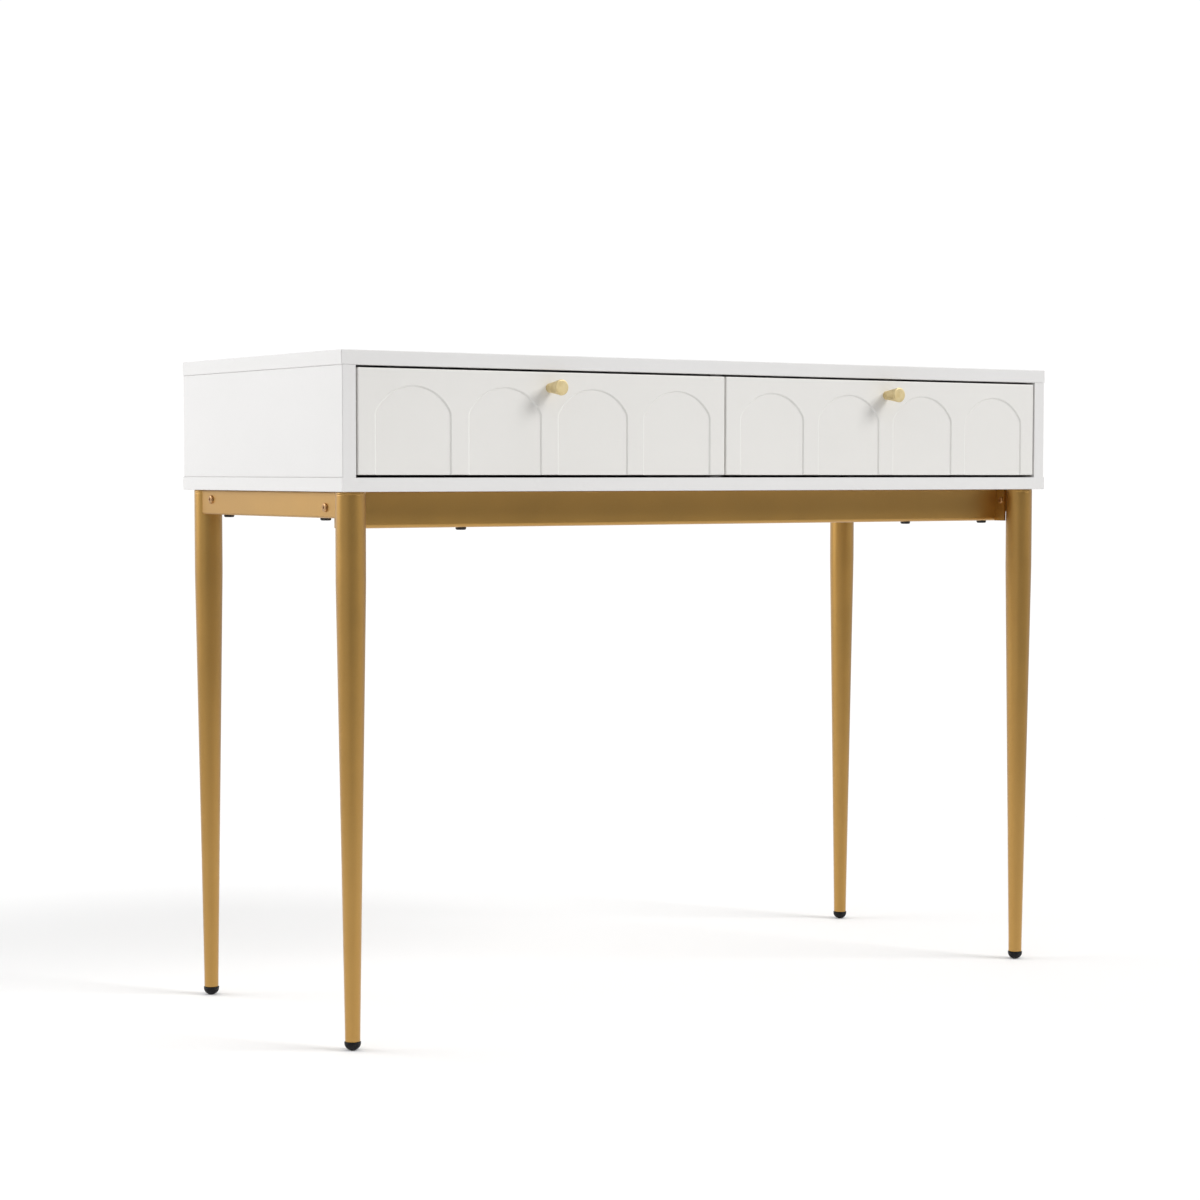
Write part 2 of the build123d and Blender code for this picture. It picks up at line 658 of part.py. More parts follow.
def foot(x, y):
    """A domed plastic glide with a small flat sole and a plug that is pushed into the leg."""
    plug_radius = LEG_TIP_RADIUS - LEG_WALL - DRILL_PLAY
    plug_top = FOOT_HEIGHT + FOOT_PLUG_LENGTH
    with BuildPart() as piece:
        with BuildSketch(upright_section(x, y)):
            with BuildLine():
                Line((0, 0), (FOOT_CONTACT_RADIUS, 0))
                ThreePointArc((FOOT_CONTACT_RADIUS, 0), FOOT_DOME_MIDDLE, (FOOT_RADIUS, FOOT_DOME_HEIGHT))
                Polyline(
                    (FOOT_RADIUS, FOOT_DOME_HEIGHT),
                    (FOOT_RADIUS, FOOT_HEIGHT),
                    (plug_radius, FOOT_HEIGHT),
                    (plug_radius, plug_top),
                    (0, plug_top),
                    (0, 0),
                )
            make_face()
        revolve(axis=Axis((x, y, 0), UP))
    return piece.part


LEG_ROWS = {"front": LEG_FRONT_Y, "rear": LEG_REAR_Y}
for row, leg_y in LEG_ROWS.items():
    for name, side in SIDES.items():
        save(leg(side * LEG_X, leg_y), f"leg_{row}_{name}")
        save(foot(side * LEG_X, leg_y), f"foot_{row}_{name}")

# Screws that hold each side rail on the tongues, staggered in height from one end to the other
rail_screw_places = (
    (LEG_FRONT_Y + RAIL_SCREW_FROM_LEG[0], LEG_TOP - RAIL_SCREW_DROP[0]),
    (LEG_REAR_Y - RAIL_SCREW_FROM_LEG[1], LEG_TOP - RAIL_SCREW_DROP[1]),
)
RAIL_SCREW_HEAD = (4.9, 2.4)
RAIL_SCREW_SHANK = (2.5, 8.0)
RAIL_SCREW_SOCKET_RADIUS = 1.6
PLATE_SCREW_HEAD = (4.0, 2.0)
PLATE_SCREW_SHANK = (2.0, 6.5)
PLATE_SCREW_SOCKET_RADIUS = 1.4
RAIL_CENTRE_Z = LEG_TOP - RAIL_HEIGHT / 2

# End plates: welded to the ends of the two beams and screwed flat to the inner sides of the side rails
plate_screw_groups = []
plate_drills = []
for side in SIDES.values():
    screw_places = [
        (side * BEAM_END_X, beam_y + offset, RAIL_CENTRE_Z)
        for beam_y in (FRONT_BEAM_Y, REAR_BEAM_Y)
        for offset in (-END_PLATE_SCREW_OFFSET, END_PLATE_SCREW_OFFSET)
    ]
    plate_screw_groups.append(
        screws(screw_places, (-side, 0, 0), PLATE_SCREW_HEAD, PLATE_SCREW_SHANK, PLATE_SCREW_SOCKET_RADIUS)
    )
    plate_drills.append(
        rods(
            screw_places,
            (-side, 0, 0),
            PLATE_SCREW_SHANK[0] + DRILL_PLAY,
            PLATE_SCREW_SHANK[1] + DRILL_OVERRUN,
        )
    )
save(joined(plate_screw_groups), "plate_screws")

end_plates = []
for beam_y, height in ((FRONT_BEAM_Y, BEAM_HEIGHT), (REAR_BEAM_Y, RAIL_HEIGHT)):
    for side in SIDES.values():
        end_plates.append(
            board(
                sorted((side * BEAM_END_X, side * RAIL_INNER_X)),
                (beam_y - END_PLATE_REACH, beam_y + END_PLATE_REACH),
                (LEG_TOP - height, LEG_TOP),
                plate_drills,
            )
        )
save(joined(end_plates), "beam_end_plates")

rail_screw_groups = []
tongues = []
for name, side in SIDES.items():
    outer_x = side * (LEG_X + RAIL_WIDTH / 2)
    screw_points = [(outer_x, y, z) for y, z in rail_screw_places]
    rail_screw_groups.append(
        screws(screw_points, (side, 0, 0), RAIL_SCREW_HEAD, RAIL_SCREW_SHANK, RAIL_SCREW_SOCKET_RADIUS)
    )
    screw_drills = rods(
        screw_points,
        (side, 0, 0),
        RAIL_SCREW_SHANK[0] + DRILL_PLAY,
        RAIL_SCREW_SHANK[1] + DRILL_OVERRUN,
    )
    leg_points = [(side * LEG_X, y, LEG_TOP) for y in LEG_ROWS.values()]

    # Side rail: box tube whose ends are coped to the legs
    with BuildPart() as side_rail:
        with BuildSketch(Plane.XZ.offset(-LEG_FRONT_Y)):
            with Locations((side * LEG_X, RAIL_CENTRE_Z)):
                RectangleRounded(RAIL_WIDTH, RAIL_HEIGHT, RAIL_CORNER)
                Rectangle(RAIL_WIDTH - 2 * TUBE_WALL, RAIL_HEIGHT - 2 * TUBE_WALL, mode=Mode.SUBTRACT)
        extrude(amount=LEG_FRONT_Y - LEG_REAR_Y)
        add(rods(leg_points, UP, LEG_RADIUS + FIT_PLAY, BEAM_HEIGHT), mode=Mode.SUBTRACT)
        for cut in (screw_drills, bolt_drills, *plate_drills):
            add(cut, mode=Mode.SUBTRACT)
    save(side_rail.part, f"side_rail_{name}")

    # Tongues: short box tubes welded to the legs, inside the rail's two ends
    tongue_width = RAIL_WIDTH - 2 * (TUBE_WALL + FIT_PLAY)
    tongue_height = RAIL_HEIGHT - 2 * (TUBE_WALL + FIT_PLAY)
    for leg_y, along in ((LEG_FRONT_Y, 1), (LEG_REAR_Y, -1)):
        with BuildPart() as leg_tongue:
            with BuildSketch(Plane.XZ.offset(-leg_y)):
                with Locations((side * LEG_X, RAIL_CENTRE_Z)):
                    Rectangle(tongue_width, tongue_height)
                    Rectangle(
                        tongue_width - 2 * TONGUE_WALL, tongue_height - 2 * TONGUE_WALL, mode=Mode.SUBTRACT
                    )
            extrude(amount=-along * TONGUE_REACH)
            add(rods(leg_points, UP, LEG_RADIUS, BEAM_HEIGHT), mode=Mode.SUBTRACT)
            for cut in (screw_drills, *plate_drills):
                add(cut, mode=Mode.SUBTRACT)
        tongues.append(leg_tongue.part)
save(joined(rail_screw_groups), "rail_screws")
save(joined(tongues), "leg_tongues")


def beam(beam_y, width, height, upper_corner, lower_corner):
    """A tube between the end plates, under the cabinet, with its own upper and lower corner radii."""
    with BuildPart() as piece:
        for inset, mode in ((0.0, Mode.ADD), (TUBE_WALL, Mode.SUBTRACT)):
            with BuildSketch(Plane.YZ.offset(-BEAM_END_X)) as section:
                with Locations((beam_y, LEG_TOP - height / 2)):
                    Rectangle(width - 2 * inset, height - 2 * inset)
                fillet(section.vertices().group_by(Axis.Y)[-1], upper_corner - inset)
                fillet(section.vertices().group_by(Axis.Y)[0], lower_corner - inset)
            extrude(amount=2 * BEAM_END_X, mode=mode)
        add(bolt_drills, mode=Mode.SUBTRACT)
    return piece.part


save(beam(FRONT_BEAM_Y, BEAM_WIDTH, BEAM_HEIGHT, BEAM_UPPER_CORNER, BEAM_LOWER_CORNER), "front_beam")
save(beam(REAR_BEAM_Y, RAIL_WIDTH, RAIL_HEIGHT, RAIL_CORNER, RAIL_CORNER), "rear_beam")
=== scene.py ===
import json
import math

import bmesh
import bpy
from mathutils import Matrix, Vector


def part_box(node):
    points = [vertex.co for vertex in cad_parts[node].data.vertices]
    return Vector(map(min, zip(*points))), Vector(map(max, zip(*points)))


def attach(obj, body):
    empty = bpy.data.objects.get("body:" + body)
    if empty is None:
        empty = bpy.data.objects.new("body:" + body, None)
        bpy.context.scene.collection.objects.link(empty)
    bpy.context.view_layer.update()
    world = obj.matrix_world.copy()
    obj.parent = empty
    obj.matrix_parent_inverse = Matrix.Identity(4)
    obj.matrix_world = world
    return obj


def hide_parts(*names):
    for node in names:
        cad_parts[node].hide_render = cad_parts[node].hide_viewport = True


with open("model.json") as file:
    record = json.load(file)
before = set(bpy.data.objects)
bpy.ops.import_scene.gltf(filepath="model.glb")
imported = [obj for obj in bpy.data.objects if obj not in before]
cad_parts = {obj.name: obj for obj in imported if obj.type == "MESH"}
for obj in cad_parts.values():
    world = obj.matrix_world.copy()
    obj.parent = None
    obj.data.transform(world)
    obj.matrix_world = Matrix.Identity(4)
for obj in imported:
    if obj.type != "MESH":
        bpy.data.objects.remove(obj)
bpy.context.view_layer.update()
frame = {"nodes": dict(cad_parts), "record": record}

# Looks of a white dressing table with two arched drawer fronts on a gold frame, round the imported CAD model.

scene = bpy.context.scene

# ---- Camera ------------------------------------------------------------------------------------------------

CAMERA_PLACE = (-1.7714, -2.5999, 0.6213)
CAMERA_YAW = math.radians(33.51)
CAMERA_PITCH = math.radians(-2.845)
CAMERA_ROLL = math.radians(-0.05)
CAMERA_LENS = 77.29
SENSOR_WIDTH = 36.0


def make_camera():
    data = bpy.data.cameras.new("camera")
    data.sensor_width = SENSOR_WIDTH
    data.lens = CAMERA_LENS
    camera = bpy.data.objects.new("camera", data)
    scene.collection.objects.link(camera)
    level = Matrix.Rotation(math.pi / 2, 4, "X")
    turn = Matrix.Rotation(-CAMERA_YAW, 4, "Z") @ Matrix.Rotation(CAMERA_PITCH, 4, "X")
    roll = Matrix.Rotation(-CAMERA_ROLL, 4, "Z")
    camera.matrix_world = Matrix.Translation(CAMERA_PLACE) @ turn @ level @ roll
    scene.camera = camera


# ---- Materials ---------------------------------------------------------------------------------------------


class Surface:
    """A node material in real-size object coordinates, with short calls for the layers surfaces share."""

    def __init__(self, name, colour, roughness, metallic=0.0, ior=1.5):
        self.material = bpy.data.materials.new(name)
        self.material.use_nodes = True
        tree = self.material.node_tree
        self.nodes = tree.nodes
        self.links = tree.links
        self.shader = self.nodes["Principled BSDF"]
        self.shader.inputs["Base Color"].default_value = (*colour, 1.0)
        self.shader.inputs["Roughness"].default_value = roughness
        self.shader.inputs["Metallic"].default_value = metallic
        self.shader.inputs["IOR"].default_value = ior
        self.material.diffuse_color = (*colour, 1.0)
        self.place = self.nodes.new("ShaderNodeTexCoord").outputs["Object"]

    def stretched(self, stretch):
        """Object coordinates scaled along each axis, for grain and brushing."""
        mapping = self.nodes.new("ShaderNodeMapping")
        mapping.inputs["Scale"].default_value = stretch
        self.links.new(self.place, mapping.inputs["Vector"])
        return mapping.outputs["Vector"]

    def noise(self, per_metre, detail=2.0, rough=0.5, place=None):
        node = self.nodes.new("ShaderNodeTexNoise")
        node.inputs["Scale"].default_value = per_metre
        node.inputs["Detail"].default_value = detail
        node.inputs["Roughness"].default_value = rough
        self.links.new(place or self.place, node.inputs["Vector"])
        return node.outputs["Fac"]

    def ranged(self, value, low, high, at=(0.3, 0.7)):
        node = self.nodes.new("ShaderNodeMapRange")
        for name, number in zip(("From Min", "From Max", "To Min", "To Max"), (*at, low, high)):
            node.inputs[name].default_value = number
        self.links.new(value, node.inputs["Value"])
        return node.outputs["Result"]

    def sum(self, first, second):
        node = self.nodes.new("ShaderNodeMath")
        node.operation = "ADD"
        self.links.new(first, node.inputs[0])
        self.links.new(second, node.inputs[1])
        return node.outputs["Value"]

    def blended(self, factor, first, second):
        """A mix of two colours, each a constant or an output; sockets 6, 7 and 2 are the colour ones."""
        node = self.nodes.new("ShaderNodeMix")
        node.data_type = "RGBA"
        self.links.new(factor, node.inputs["Factor"])
        for socket, colour in ((node.inputs[6], first), (node.inputs[7], second)):
            if isinstance(colour, tuple):
                socket.default_value = (*colour, 1.0)
            else:
                self.links.new(colour, socket)
        return node.outputs[2]

    def colour(self, output):
        self.links.new(output, self.shader.inputs["Base Color"])

    def roughness(self, output):
        self.links.new(output, self.shader.inputs["Roughness"])

    def bump(self, heights):
        """heights is a list of (output, height in metres); each bump adds to the one before it."""
        normal = None
        for output, metres in heights:
            node = self.nodes.new("ShaderNodeBump")
            node.inputs["Strength"].default_value = 1.0
            node.inputs["Distance"].default_value = metres
            self.links.new(output, node.inputs["Height"])
            if normal:
                self.links.new(normal, node.inputs["Normal"])
            normal = node.outputs["Normal"]
        self.links.new(normal, self.shader.inputs["Normal"])


def sprayed_white(name, colour, shade):
    """White satin lacquer on fibreboard: orange-peel skin, faint tone drift, handling marks in the gloss."""
    s = Surface(name, colour, 0.42)
    s.colour(s.blended(s.ranged(s.noise(3.2, 3), 0.0, 1.0), colour, shade))
    s.roughness(s.sum(s.ranged(s.noise(9.0, 4, 0.6), 0.36, 0.47), s.ranged(s.noise(420.0, 2), -0.02, 0.02)))
    s.bump([(s.noise(260.0, 2), 0.00006), (s.noise(1300.0, 2, 0.6), 0.00002)])
    return s.material


def laminate_white(name, colour, shade):
    """White melamine on particle board: a fine pebbled press texture with a slight drift in gloss."""
    s = Surface(name, colour, 0.5)
    s.colour(s.blended(s.ranged(s.noise(5.0, 3), 0.0, 1.0), colour, shade))
    s.roughness(s.ranged(s.noise(16.0, 4, 0.6), 0.44, 0.58))
    s.bump([(s.noise(900.0, 3, 0.65), 0.00005)])
    return s.material


def hardboard(name):
    """White-faced thin board: faint fibre streaks along its length."""
    s = Surface(name, (0.74, 0.74, 0.72), 0.6)
    streaks = s.noise(60.0, 4, 0.6, s.stretched((0.25, 4.0, 4.0)))
    s.colour(s.blended(s.ranged(streaks, 0.0, 1.0), (0.76, 0.76, 0.74), (0.69, 0.685, 0.665)))
    s.roughness(s.ranged(s.noise(30.0, 3), 0.52, 0.66))
    s.bump([(streaks, 0.00004), (s.noise(1500.0, 2), 0.00003)])
    return s.material


def gold_paint(name):
    """Satin gold lacquer: metal flake under a clear coat, soft orange peel and slight gloss drift."""
    s = Surface(name, (0.47, 0.265, 0.062), 0.42, metallic=1.0)
    s.shader.inputs["Coat Weight"].default_value = 0.6
    s.shader.inputs["Coat Roughness"].default_value = 0.3
    flake = s.noise(2600.0, 2, 0.7)
    drift = s.blended(s.ranged(s.noise(7.0, 3), 0.0, 1.0), (0.485, 0.273, 0.064), (0.46, 0.255, 0.058))
    s.colour(s.blended(s.ranged(flake, 0.0, 0.3, (0.45, 0.75)), drift, (0.62, 0.4, 0.15)))
    s.roughness(s.sum(s.ranged(s.noise(24.0, 4, 0.6), 0.38, 0.45), s.ranged(flake, -0.03, 0.04)))
    s.bump([(s.noise(330.0, 2), 0.00005), (flake, 0.00001)])
    return s.material


def pale_brass(name):
    """Brushed pale brass with fine turned rings, warmer where it is seldom touched."""
    s = Surface(name, (0.74, 0.61, 0.33), 0.5, metallic=0.8)
    turned = s.noise(900.0, 3, 0.6, s.stretched((0.12, 3.0, 0.12)))
    s.colour(s.blended(s.ranged(s.noise(140.0, 3), 0.0, 1.0), (0.8, 0.67, 0.39), (0.7, 0.56, 0.29)))
    s.roughness(s.ranged(turned, 0.44, 0.58))
    s.bump([(turned, 0.00003)])
    return s.material


def bronze_plate(name):
    s = Surface(name, (0.55, 0.33, 0.16), 0.32, metallic=1.0)
    s.colour(s.blended(s.ranged(s.noise(600.0, 3), 0.0, 1.0), (0.6, 0.37, 0.18), (0.42, 0.23, 0.1)))
    s.roughness(s.ranged(s.noise(1200.0, 3), 0.25, 0.42))
    s.bump([(s.noise(2200.0, 2), 0.00002)])
    return s.material


def black_plastic(name):
    """Moulded black polypropylene: fine spark texture, scuffed slightly paler in places."""
    s = Surface(name, (0.006, 0.006, 0.007), 0.45, ior=1.3)
    scuffs = s.ranged(s.noise(260.0, 4, 0.65), 0.0, 1.0, (0.5, 0.85))
    s.colour(s.blended(scuffs, (0.004, 0.004, 0.005), (0.022, 0.021, 0.02)))
    s.roughness(s.ranged(s.noise(500.0, 3), 0.36, 0.58))
    s.bump([(s.noise(2400.0, 2), 0.00004)])
    return s.material


def black_oxide(name):
    s = Surface(name, (0.02, 0.02, 0.022), 0.38, metallic=0.6)
    s.colour(s.blended(s.ranged(s.noise(400.0, 3), 0.0, 1.0), (0.015, 0.015, 0.017), (0.05, 0.046, 0.042)))
    s.roughness(s.ranged(s.noise(900.0, 3), 0.3, 0.5))
    s.bump([(s.noise(2000.0, 2), 0.00002)])
    return s.material


def zinc_plate(name):
    """Bright zinc on rolled sheet: rolling streaks along the slide and a faint crystalline mottle."""
    s = Surface(name, (0.62, 0.63, 0.65), 0.32, metallic=1.0)
    rolled = s.noise(500.0, 4, 0.6, s.stretched((1.0, 0.03, 1.0)))
    mottle = s.noise(120.0, 4, 0.7)
    s.colour(s.blended(s.ranged(mottle, 0.0, 1.0), (0.66, 0.67, 0.69), (0.53, 0.545, 0.57)))
    s.roughness(s.sum(s.ranged(rolled, 0.22, 0.36), s.ranged(mottle, -0.03, 0.05)))
    s.bump([(rolled, 0.00003)])
    return s.material


def beech(name):
    s = Surface(name, (0.6, 0.42, 0.25), 0.6)
    grain = s.noise(260.0, 4, 0.6, s.stretched((3.0, 3.0, 0.3)))
    s.colour(s.blended(s.ranged(grain, 0.0, 1.0), (0.64, 0.46, 0.28), (0.5, 0.33, 0.18)))
    s.bump([(grain, 0.00008)])
    return s.material


MATERIALS = {
    "cabinet_white": sprayed_white("cabinet_white", (0.82, 0.812, 0.804), (0.795, 0.786, 0.777)),
    "drawer_front_white": sprayed_white("drawer_front_white", (0.835, 0.821, 0.792), (0.81, 0.796, 0.767)),
    "drawer_box_white": laminate_white("drawer_box_white", (0.78, 0.78, 0.765), (0.75, 0.75, 0.735)),
    "thin_board": hardboard("thin_board"),
    "gold_paint": gold_paint("gold_paint"),
    "knob_brass": pale_brass("knob_brass"),
    "bronze_screw": bronze_plate("bronze_screw"),
    "black_plastic": black_plastic("black_plastic"),
    "black_bolt": black_oxide("black_bolt"),
    "zinc_slide": zinc_plate("zinc_slide"),
    "zinc_fastener": zinc_plate("zinc_fastener"),
    "beech_dowel": beech("beech_dowel"),
}


def finish_nodes():
    """Every CAD node takes the material of its slot in the record."""
    for entry in frame["record"]["subparts"]:
        mesh = frame["nodes"][entry["node"]].data
        mesh.materials.clear()
        mesh.materials.append(MATERIALS[entry["material_slot"]])


# ---- Turned pieces: legs, feet and knobs, sizes in millimetres ---------------------------------------------

MM = 0.001
SMOOTH_ANGLE = math.radians(35.0)
LEG_NAMES = ("front_left", "front_right", "rear_left", "rear_right")


def new_piece(name, bm, slot, body, *replaced):
    """Turns a bmesh into a piece with the slot's material, riding on a body in place of CAD nodes."""
    bmesh.ops.recalc_face_normals(bm, faces=bm.faces)
    mesh = bpy.data.meshes.new(name)
    bm.to_mesh(mesh)
    bm.free()
    mesh.shade_smooth()
    mesh.set_sharp_from_angle(angle=SMOOTH_ANGLE)
    mesh.materials.append(MATERIALS[slot])
    piece = bpy.data.objects.new(name, mesh)
    scene.collection.objects.link(piece)
    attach(piece, body)
    if replaced:
        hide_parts(*replaced)


def turned(profile, place, segments):
    """A closed body of revolution from (radius, height) points along place's Z, ends on the axis."""
    bm = bmesh.new()
    rings = []
    for radius, height in profile:
        if radius == 0.0:
            rings.append([bm.verts.new(place @ Vector((0.0, 0.0, height * MM)))])
            continue
        ring = []
        for step in range(segments):
            angle = step * math.tau / segments
            point = Vector((radius * math.cos(angle), radius * math.sin(angle), height)) * MM
            ring.append(bm.verts.new(place @ point))
        rings.append(ring)
    for lower, upper in zip(rings, rings[1:]):
        for step in range(segments):
            after = (step + 1) % segments
            corners = [lower[step % len(lower)], lower[after % len(lower)]]
            corners += [upper[after % len(upper)], upper[step % len(upper)]]
            bm.faces.new(list(dict.fromkeys(corners)))
    return bm


def arc(centre, radius, start, end, steps):
    """Profile points along a circle, angles in degrees from the outward radius towards the top."""
    angles = [math.radians(start + (end - start) * step / steps) for step in range(steps + 1)]
    return [(centre[0] + radius * math.cos(a), centre[1] + radius * math.sin(a)) for a in angles]


def column(node):
    """The place of a node's upright axis on the floor, from its box."""
    low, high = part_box(node)
    return Matrix.Translation(((low[0] + high[0]) / 2, (low[1] + high[1]) / 2, 0.0))


LEG_SEGMENTS = 96
LEG_TOP = 600.0
LEG_RADIUS = 16.25
LEG_SHOULDER = 510.0
LEG_TIP_RADIUS = 8.25
LEG_TIP_TOP = 25.0
LEG_TIP_END = 9.5
# Points of the leg's top end: way in from its radius, and drop below its top
LEG_TOP_EASE = ((1.05, 0.0), (0.35, 0.3), (0.0, 1.0))
WELD_GROOVE = ((0.0, 2.4), (0.0, 3.0), (0.2, 3.3), (0.0, 3.6), (0.0, 4.2))
SHOULDER_BLEND = 14.0
TAPER_RINGS = 24
RIM_RADIUS = 0.9
RIM_STEPS = 6
RIM_SUPPORT = 1.5


def leg_radius(height):
    """Radius of the leg: straight, then a taper that starts softly at the shoulder, then the straight tip."""
    drop = max(0.0, LEG_SHOULDER - height)
    slope = (LEG_RADIUS - LEG_TIP_RADIUS) / (LEG_SHOULDER - LEG_TIP_TOP)
    if drop < SHOULDER_BLEND:
        return LEG_RADIUS - slope * drop * drop / (2 * SHOULDER_BLEND)
    return max(LEG_TIP_RADIUS, LEG_RADIUS - slope * (drop - SHOULDER_BLEND / 2))


def make_legs():
    """Tapered tubes with a rolled lower rim and a hairline weld groove under the top plate."""
    top = [(0.0, LEG_TOP)]
    top += [(LEG_RADIUS - inward, LEG_TOP - drop) for inward, drop in LEG_TOP_EASE + WELD_GROOVE]
    span = LEG_SHOULDER + SHOULDER_BLEND - LEG_TIP_TOP
    heights = [LEG_SHOULDER + SHOULDER_BLEND - span * ring / TAPER_RINGS for ring in range(TAPER_RINGS + 1)]
    taper = [(leg_radius(height), height) for height in heights]
    rim_centre = (LEG_TIP_RADIUS - RIM_RADIUS, LEG_TIP_END + RIM_RADIUS)
    rim = [(LEG_TIP_RADIUS, LEG_TIP_END + RIM_SUPPORT)]
    rim += arc(rim_centre, RIM_RADIUS, 0.0, -90.0, RIM_STEPS)
    profile = top + taper + rim + [(0.0, LEG_TIP_END)]
    for name in LEG_NAMES:
        node = f"leg_{name}"
        tube = turned(profile, column(node), LEG_SEGMENTS)
        new_piece(f"{node}_tube", tube, "gold_paint", "cabinet", node)


FOOT_RADIUS = 9.0
FOOT_SOLE_RADIUS = 2.2
BELLY_CENTRE = (1.1, 8.05)
BELLY_RADIUS = 7.9
BELLY_ANGLES = (-76.0, -6.0)
BELLY_STEPS = 14
# Parting line, then the eased edge of the lip: way in from the foot's radius, and height
FOOT_LIP = ((0.02, 7.5), (0.22, 7.75), (0.22, 7.95), (0.0, 8.2), (0.0, 9.0), (0.3, 9.4), (0.8, LEG_TIP_END))


def make_feet():
    """Domed glides: flat sole, round belly, a parting line and a thin lip under the leg's rim."""
    belly = arc(BELLY_CENTRE, BELLY_RADIUS, *BELLY_ANGLES, BELLY_STEPS)
    lip = [(FOOT_RADIUS - inward, height) for inward, height in FOOT_LIP]
    profile = [(0.0, 0.0), (FOOT_SOLE_RADIUS, 0.0)] + belly + lip + [(0.0, LEG_TIP_END)]
    for name in LEG_NAMES:
        node = f"foot_{name}"
        glide = turned(profile, column(node), LEG_SEGMENTS)
        new_piece(f"{node}_glide", glide, "black_plastic", "cabinet", node)


KNOB_SEGMENTS = 96
KNOB_LENGTH = 25.0
KNOB_BASE = 5.25
KNOB_END = 8.95
KNOB_COLLAR = 2.0
# Points of the collar: way in from its radius, and place along the knob
COLLAR_STEP = ((0.0, 0.0), (0.0, 1.5), (0.3, 1.7), (0.0, KNOB_COLLAR))
KNOB_GROOVES = (4.2, 7.4)
GROOVE_WIDTH = 0.9
GROOVE_DEPTH = 0.4
# Section of a groove: shares of its width along the knob, and of its depth
GROOVE_SECTION = ((0.0, 0.0), (0.25, 0.8), (0.5, 1.0), (0.75, 0.8), (1.0, 0.0))
KNOB_RINGS = (10.0, 14.0, 18.0, 22.0)
KNOB_ROUNDING = 1.3
KNOB_ROUNDING_SETBACK = 0.1
KNOB_ROUNDING_STEPS = 8
KNOB_END_RINGS = (6.0, 3.0, 0.0)


def knob_radius(along):
    return KNOB_BASE + (KNOB_END - KNOB_BASE) * max(0.0, along - KNOB_COLLAR) / (KNOB_LENGTH - KNOB_COLLAR)


def make_knobs():
    """Turned cones with two grooves near the drawer front, a rounded rim and a flat end."""
    profile = [(0.0, 0.0)] + [(KNOB_BASE - inward, along) for inward, along in COLLAR_STEP]
    for groove in KNOB_GROOVES:
        for offset, depth in GROOVE_SECTION:
            along = groove + offset * GROOVE_WIDTH
            profile.append((knob_radius(along) - depth * GROOVE_DEPTH, along))
    profile += [(knob_radius(along), along) for along in KNOB_RINGS]
    rounding_radius = knob_radius(KNOB_LENGTH) - KNOB_ROUNDING - KNOB_ROUNDING_SETBACK
    rounding_centre = (rounding_radius, KNOB_LENGTH - KNOB_ROUNDING)
    profile += arc(rounding_centre, KNOB_ROUNDING, 0.0, 90.0, KNOB_ROUNDING_STEPS)
    profile += [(radius, KNOB_LENGTH) for radius in KNOB_END_RINGS]
    for side in ("left", "right"):
        node = f"drawer_{side}_knob"
        low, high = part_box(node)
        centre = ((low[0] + high[0]) / 2, high[1], (low[2] + high[2]) / 2)
        place = Matrix.Translation(centre) @ Matrix.Rotation(math.pi / 2, 4, "X")
        bm = turned(profile, place, KNOB_SEGMENTS)
        new_piece(f"{node}_turned", bm, "knob_brass", f"drawer_{side}", node)


# ---- Ball rows inside the drawer slides, sizes in millimetres ----------------------------------------------

BALL_RINGS = 8
BALL_SEGMENTS = 14
BALL_SPACING = 8.0
BALLS_PER_ROW = 17
RETAINER_THICKNESS = 0.25
RETAINER_HALF_WIDTH = 1.9
RETAINER_OVERHANG = 4.0
ROW_MARGIN = 12.0
OUTER_BALL_RADIUS = 1.05
INNER_BALL_RADIUS = 1.1
SLIDE_GAUGE = 1.2


def add_box(bm, low, high):
    centre = [(a + b) / 2 for a, b in zip(low, high)]
    size = [b - a for a, b in zip(low, high)]
    place = Matrix.Translation(centre) @ Matrix.Diagonal((*size, 1.0))
    bmesh.ops.create_cube(bm, size=1.0, matrix=place)


def ball_row(bm, x, start_y, z, radius):
    """Steel balls in a thin retainer strip that runs front to back."""
    for step in range(BALLS_PER_ROW):
        centre = Vector((x, start_y + step * BALL_SPACING * MM, z))
        place = Matrix.Translation(centre)
        bmesh.ops.create_uvsphere(
            bm, u_segments=BALL_SEGMENTS, v_segments=BALL_RINGS, radius=radius, matrix=place
        )
    end_y = start_y + (BALLS_PER_ROW - 1) * BALL_SPACING * MM
    half = (RETAINER_HALF_WIDTH * MM, RETAINER_OVERHANG * MM, RETAINER_THICKNESS * MM)
    add_box(
        bm,
        (x - half[0], start_y - half[1], z - half[2]),
        (x + half[0], end_y + half[1], z + half[2]),
    )


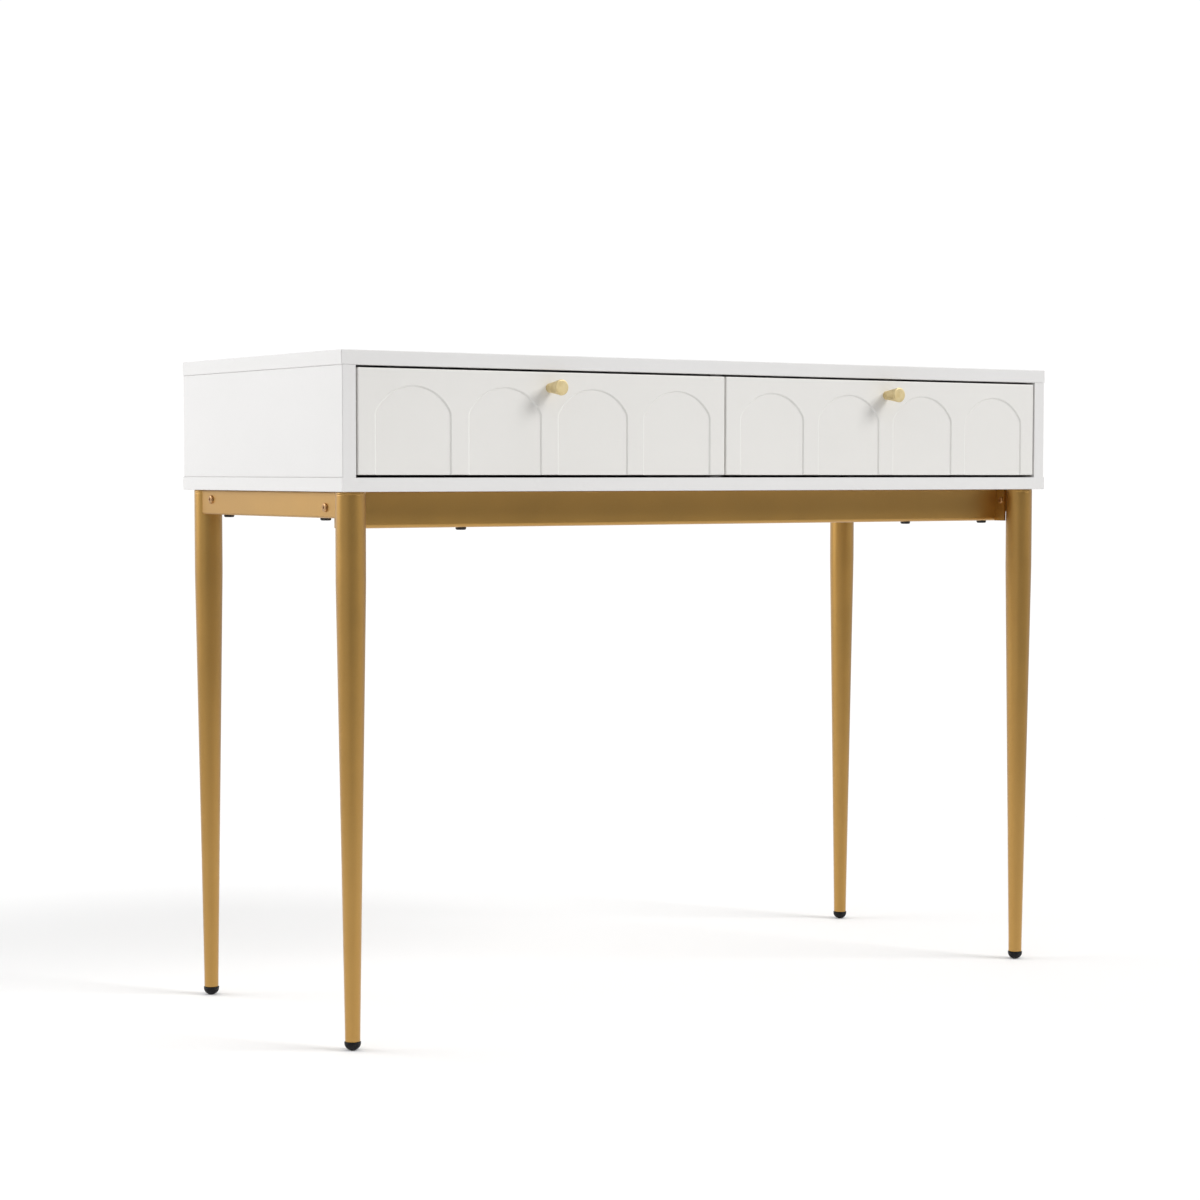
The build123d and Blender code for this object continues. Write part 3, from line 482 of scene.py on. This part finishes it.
def make_ball_rows():
    """Between outer and middle channels the balls sit at the rear; between middle and inner, at the front."""
    row_length = (BALLS_PER_ROW - 1) * BALL_SPACING * MM
    for drawer in ("left", "right"):
        for hand in ("left", "right"):
            node = f"drawer_{drawer}_middle_slide_{hand}"
            low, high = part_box(node)
            inner_low, inner_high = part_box(f"drawer_{drawer}_inner_slide_{hand}")
            outer_low, outer_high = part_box(f"drawer_{drawer}_outer_slide_{hand}")
            middle_x = (low[0] + high[0]) / 2
            overlap_x = (max(low[0], inner_low[0]) + min(high[0], inner_high[0])) / 2
            middle_z = (low[2] + high[2]) / 2
            half_middle = (high[2] - low[2]) / 2
            wall = SLIDE_GAUGE * MM
            outer_z = (half_middle + (outer_high[2] - outer_low[2]) / 2 - wall) / 2
            inner_z = (half_middle - wall + (inner_high[2] - inner_low[2]) / 2) / 2
            rear_start = high[1] - row_length - ROW_MARGIN * MM
            front_start = low[1] + ROW_MARGIN * MM
            bm = bmesh.new()
            for up in (-1, 1):
                ball_row(bm, middle_x, rear_start, middle_z + up * outer_z, OUTER_BALL_RADIUS * MM)
                ball_row(bm, overlap_x, front_start, middle_z + up * inner_z, INNER_BALL_RADIUS * MM)
            new_piece(f"{node}_balls", bm, "zinc_slide", f"slide_runners_{drawer}")


# ---- Floor and light ---------------------------------------------------------------------------------------

FLOOR_RADIUS = 1.7
FLOOR_CORNERS = 96


def make_floor():
    """A disc of white paper, clear from below; past its edge the white surroundings carry on."""
    mesh = bpy.data.meshes.new("floor")
    bm = bmesh.new()
    bmesh.ops.create_circle(bm, cap_ends=True, radius=FLOOR_RADIUS, segments=FLOOR_CORNERS)
    bm.to_mesh(mesh)
    bm.free()
    floor = bpy.data.objects.new("floor", mesh)
    scene.collection.objects.link(floor)
    surface = Surface("floor_paper", (0.93, 0.93, 0.93), 0.9)
    surface.roughness(surface.ranged(surface.noise(2.0), 0.85, 0.95))
    underneath = surface.nodes.new("ShaderNodeNewGeometry").outputs["Backfacing"]
    clear = surface.nodes.new("ShaderNodeBsdfTransparent")
    one_way = surface.nodes.new("ShaderNodeMixShader")
    surface.links.new(underneath, one_way.inputs["Fac"])
    surface.links.new(surface.shader.outputs["BSDF"], one_way.inputs[1])
    surface.links.new(clear.outputs["BSDF"], one_way.inputs[2])
    surface.links.new(one_way.outputs["Shader"], surface.nodes["Material Output"].inputs["Surface"])
    mesh.materials.append(surface.material)


LIGHT_TARGET = (0.0, 0.0, 0.6)
# Name, place, width and height, watts
LIGHTS = (
    ("key", (8.1, -8.5, 8.2), (5.6, 5.6), 1070.0),
    ("left_softbox", (-2.7, 2.1, 1.65), (2.0, 1.6), 42.0),
)


def area_light(name, place, size, watts):
    """A rectangular lamp that looks at the middle of the table."""
    data = bpy.data.lights.new(name, "AREA")
    data.shape = "RECTANGLE"
    data.size, data.size_y = size
    data.energy = watts
    lamp = bpy.data.objects.new(name, data)
    lamp.location = place
    lamp.rotation_euler = (Vector(LIGHT_TARGET) - Vector(place)).to_track_quat("-Z", "Y").to_euler()
    scene.collection.objects.link(lamp)


WORLD_STRENGTH = 1.04
# Each dark part: the way it lies, where it fades in sideways, where it fades out upwards, and its darkness
DARK_PARTS = (
    ((0.1, -1.0, 0.0), (0.35, 0.85), (0.45, 0.85), 0.7),
    ((-1.0, 0.1, 0.0), (0.2, 0.7), (0.05, 0.35), 0.5),
    ((1.0, 0.45, 0.0), (0.3, 0.85), (0.5, 0.9), 0.45),
)
# The studio also dims towards the zenith, so that the table's top keeps its tone against the white
ZENITH_FADE = (0.5, 0.9)
ZENITH_SHARE = 0.7


def make_world():
    """A white studio with darker parts low down, so that the metal has something to show."""
    world = bpy.data.worlds.new("studio")
    world.use_nodes = True
    nodes = world.node_tree.nodes
    links = world.node_tree.links

    def maths(operation, first, second):
        node = nodes.new("ShaderNodeMath")
        node.operation = operation
        for socket, value in zip(node.inputs, (first, second)):
            if isinstance(value, float):
                socket.default_value = value
            else:
                links.new(value, socket)
        return node.outputs["Value"]

    def smooth(value, at, to):
        node = nodes.new("ShaderNodeMapRange")
        node.interpolation_type = "SMOOTHSTEP"
        for name, number in zip(("From Min", "From Max", "To Min", "To Max"), (*at, *to)):
            node.inputs[name].default_value = number
        links.new(value, node.inputs["Value"])
        return node.outputs["Result"]

    direction = nodes.new("ShaderNodeTexCoord").outputs["Generated"]
    split = nodes.new("ShaderNodeSeparateXYZ")
    links.new(direction, split.inputs["Vector"])
    strength = WORLD_STRENGTH
    for side, azimuth, elevation, share in DARK_PARTS:
        facing = nodes.new("ShaderNodeVectorMath")
        facing.operation = "DOT_PRODUCT"
        links.new(direction, facing.inputs[0])
        facing.inputs[1].default_value = Vector(side).normalized()
        sideways = smooth(facing.outputs["Value"], azimuth, (0.0, share))
        low_down = smooth(split.outputs["Z"], elevation, (1.0, 0.0))
        left_over = maths("SUBTRACT", 1.0, maths("MULTIPLY", sideways, low_down))
        strength = maths("MULTIPLY", left_over, strength)
    strength = maths("MULTIPLY", smooth(split.outputs["Z"], ZENITH_FADE, (1.0, ZENITH_SHARE)), strength)
    seen = nodes.new("ShaderNodeLightPath").outputs["Is Camera Ray"]
    shown = nodes.new("ShaderNodeMix")
    links.new(seen, shown.inputs["Factor"])
    links.new(strength, shown.inputs["A"])
    shown.inputs["B"].default_value = WORLD_STRENGTH
    background = nodes["Background"]
    background.inputs["Color"].default_value = (1.0, 1.0, 1.0, 1.0)
    links.new(shown.outputs["Result"], background.inputs["Strength"])
    scene.world = world


make_camera()
finish_nodes()
make_legs()
make_feet()
make_knobs()
make_ball_rows()
make_floor()
make_world()
for light in LIGHTS:
    area_light(*light)
scene.view_settings.view_transform = "Standard"
